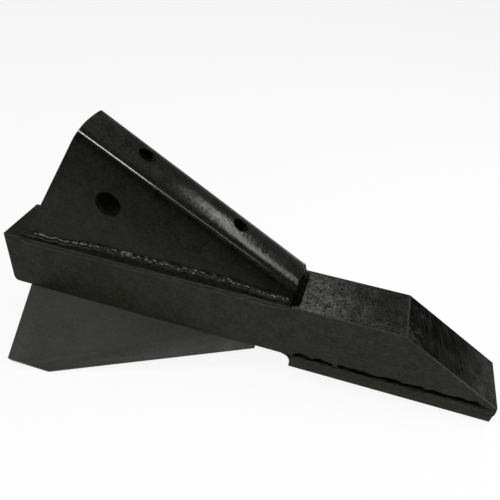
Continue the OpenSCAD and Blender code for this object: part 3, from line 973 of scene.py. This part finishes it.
# A full bead in the corner between a wing and the bar's underside
def makeWingBead(node, wingNode, name, side, seed):
    low, high = spanOnBar(node)
    look = wingBead
    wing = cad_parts[wingNode].data
    seam = min(abs(p.y) for p in (fromBar(v.co) for v in wing.vertices) if abs(p.z - barLow.z) < near)
    inner = min(abs(low.y), abs(high.y)) - seam
    outer = max(abs(low.y), abs(high.y)) - seam
    underside = mainNormal(wing, lambda n: n.z < -0.5)
    droop = math.atan2(abs(underside.y), abs(underside.dot(barUp)))

    def corners(along, full):
        def leg(share):
            reach = (outer if share > 0 else -inner) * abs(share) * full
            dip = math.tan(droop) * reach if share > 0 else 0
            bulge = look["throat"] * full * (1 - share * share)
            return Vector((reach, -dip - bulge + (look["sink"] if abs(share) == 1 else 0)))
        return [leg(share) for share in (1, 0.7, 0.35, 0, -0.35, -0.7, -1)]

    def place(along, out, up):
        return onBar(low.x + along, side * (seam + out), barLow.z + up)

    back = [(inner * 0.5, 0.8), (0.0, 0.8), (outer * 0.4, 0.5)]
    return layBead(node, name, high.x - low.x, corners, back, place, look, seed)


beads = [makeSaddleBead("saddle_weld_right", "saddleWeldRight", -1, 11.3),
         makeSaddleBead("saddle_weld_left", "saddleWeldLeft", 1, 23.7),
         makePadBead("pad_weld_right", "padWeldRight", -1, 31.1),
         makePadBead("pad_weld_left", "padWeldLeft", 1, 43.9),
         makeNoseBead("saddle_weld_front", "saddleWeldFront", 57.2),
         makeWingBead("wing_weld_right", "wing_right", "wingWeldRight", -1, 61.5),
         makeWingBead("wing_weld_left", "wing_left", "wingWeldLeft", 1, 73.8)]
for bead in beads:
    print(bead.name, len(bead.data.polygons), "faces")


# Hollow fillet behind the pad
padFillet = copyOfNode("pad_weld_rear", "padWeldRear")
addPaints(padFillet, weldPaint)
smoothShading(padFillet, cleanUp["smoothFillet"])
finishPiece(padFillet, "pad_weld_rear")
print("pad fillet:", len(padFillet.data.polygons), "faces")


# Studio: pale floor, plain light, the photograph's camera
floorSizes = {"size": 60.0, "colour": (0.82, 0.82, 0.82, 1), "white": 0.88}
spineAim, noseAim = (-0.08, 0.0, 0.16), (0.0, 0.0, 0.12)
strips = {"keyStrip": {"ends": ((-0.03, -0.68, 0.80), (0.20, -0.65, 0.73)), "aim": spineAim,
                       "width": 0.05, "power": 3.4},
          "keyTail": {"ends": ((0.20, -0.65, 0.73), (0.55, -0.62, 0.62)), "aim": spineAim,
                      "width": 0.05, "power": 0.75},
          "sideStrip": {"ends": ((0.350, 0.680, 0.655), (0.590, 0.000, 0.835)), "aim": noseAim,
                        "width": 0.09, "power": 3.4},
          "noseStrip": {"ends": ((0.600, 0.330, 0.680), (0.660, -0.100, 0.800)), "aim": noseAim,
                        "width": 0.09, "power": 1.5}}
panel = {"at": (-0.85, -0.24, 1.35), "aim": (-0.1, -0.05, 0.05), "size": 0.6, "power": 6.6}
# Light from the sky at heights from the horizon up to straight overhead
skySteps = [(0.0, 0.45), (0.12, 0.40), (0.30, 0.12), (0.75, 0.12), (0.95, 0.4)]
photoView = {"at": (0.08061, -0.32276, 0.33047), "turn": (49.0132, -0.5116, 17.5844), "lens": 37.412,
             "sensor": 36, "shift": (0.055, 0.113), "clip": (0.01, 60)}


# What looks straight at the floor sees it nearly white, and it still takes the shadow
def makeFloor():
    bpy.ops.object.select_all(action="DESELECT")
    bpy.ops.mesh.primitive_plane_add(size=floorSizes["size"], location=(0, 0, cadLow.z))
    floor = bpy.context.object
    floor.name = "studioFloor"
    material, tree = emptyMaterial("floorCard")
    out = addNode(tree, "ShaderNodeOutputMaterial", 600, 0)
    card = addNode(tree, "ShaderNodeBsdfDiffuse", 0, 100, {"Color": floorSizes["colour"]})
    white = addNode(tree, "ShaderNodeEmission", 0, -100, {"Strength": 1.0})
    ray = addNode(tree, "ShaderNodeLightPath", -700, 200)
    seen = addNode(tree, "ShaderNodeMath", -480, 200, operation="MAXIMUM")
    anySeen = addNode(tree, "ShaderNodeMath", -300, 200, operation="MAXIMUM")
    share = addNode(tree, "ShaderNodeMath", -120, 200, {1: floorSizes["white"]}, operation="MULTIPLY")
    mixed = addNode(tree, "ShaderNodeMixShader", 300, 0)
    wire(tree, ray, "Is Camera Ray", seen, 0)
    wire(tree, ray, "Is Glossy Ray", seen, 1)
    wire(tree, seen, 0, anySeen, 0)
    wire(tree, ray, "Is Transmission Ray", anySeen, 1)
    wire(tree, anySeen, 0, share, 0)
    wire(tree, share, 0, mixed, "Fac")
    wire(tree, card, "BSDF", mixed, 1)
    wire(tree, white, "Emission", mixed, 2)
    wire(tree, mixed, "Shader", out, "Surface")
    addPaints(floor, material)


def addLamp(name, shape, power, at):
    lamp = bpy.data.lights.new(name, "AREA")
    lamp.shape = shape
    lamp.energy = power
    holder = bpy.data.objects.new(name, lamp)
    bpy.context.scene.collection.objects.link(holder)
    holder.location = at
    return lamp, holder


# A strip lamp between two ends, turned to face its aim
def makeStrip(name, ends, aim, width, power):
    start, end = (Vector(e) for e in ends)
    lamp, holder = addLamp(name, "RECTANGLE", power, (start + end) / 2)
    lamp.size, lamp.size_y = (end - start).length, width
    along = (end - start).normalized()
    back = holder.location - Vector(aim)
    back = (back - along * back.dot(along)).normalized()
    holder.rotation_euler = Matrix((along, back.cross(along), back)).transposed().to_euler()


def makePanel(name, at, aim, size, power):
    lamp, holder = addLamp(name, "DISK", power, at)
    lamp.size = size
    holder.rotation_euler = (Vector(aim) - Vector(at)).to_track_quat("-Z", "Y").to_euler()


def makeSky():
    world = bpy.data.worlds.new("studioSky")
    bpy.context.scene.world = world
    world.use_nodes = True
    tree = world.node_tree
    sky = tree.nodes["Background"]
    where = addNode(tree, "ShaderNodeTexCoord", -900, 0)
    split = addNode(tree, "ShaderNodeSeparateXYZ", -700, 0)
    steps = addNode(tree, "ShaderNodeValToRGB", -500, 0)
    ramp = steps.color_ramp
    while len(ramp.elements) < len(skySteps):
        ramp.elements.new(0.5)
    for element, (height, level) in zip(ramp.elements, skySteps):
        element.position = height
        element.color = (level, level, level, 1)
    wire(tree, where, "Generated", split, "Vector")
    wire(tree, split, "Z", steps, "Fac")
    wire(tree, steps, "Color", sky, "Color")


def makeCamera():
    lens = bpy.data.cameras.new("photoCamera")
    lens.sensor_width = photoView["sensor"]
    lens.lens = photoView["lens"]
    lens.shift_x, lens.shift_y = photoView["shift"]
    lens.clip_start, lens.clip_end = photoView["clip"]
    camera = bpy.data.objects.new("photoCamera", lens)
    bpy.context.scene.collection.objects.link(camera)
    camera.location = photoView["at"]
    camera.rotation_euler = [math.radians(a) for a in photoView["turn"]]
    bpy.context.scene.camera = camera


makeFloor()
makeSky()
for name, strip in strips.items():
    makeStrip(name, **strip)
makePanel("ceilingPanel", **panel)
makeCamera()
bpy.context.scene.view_settings.view_transform = "Standard"
print("studio set")
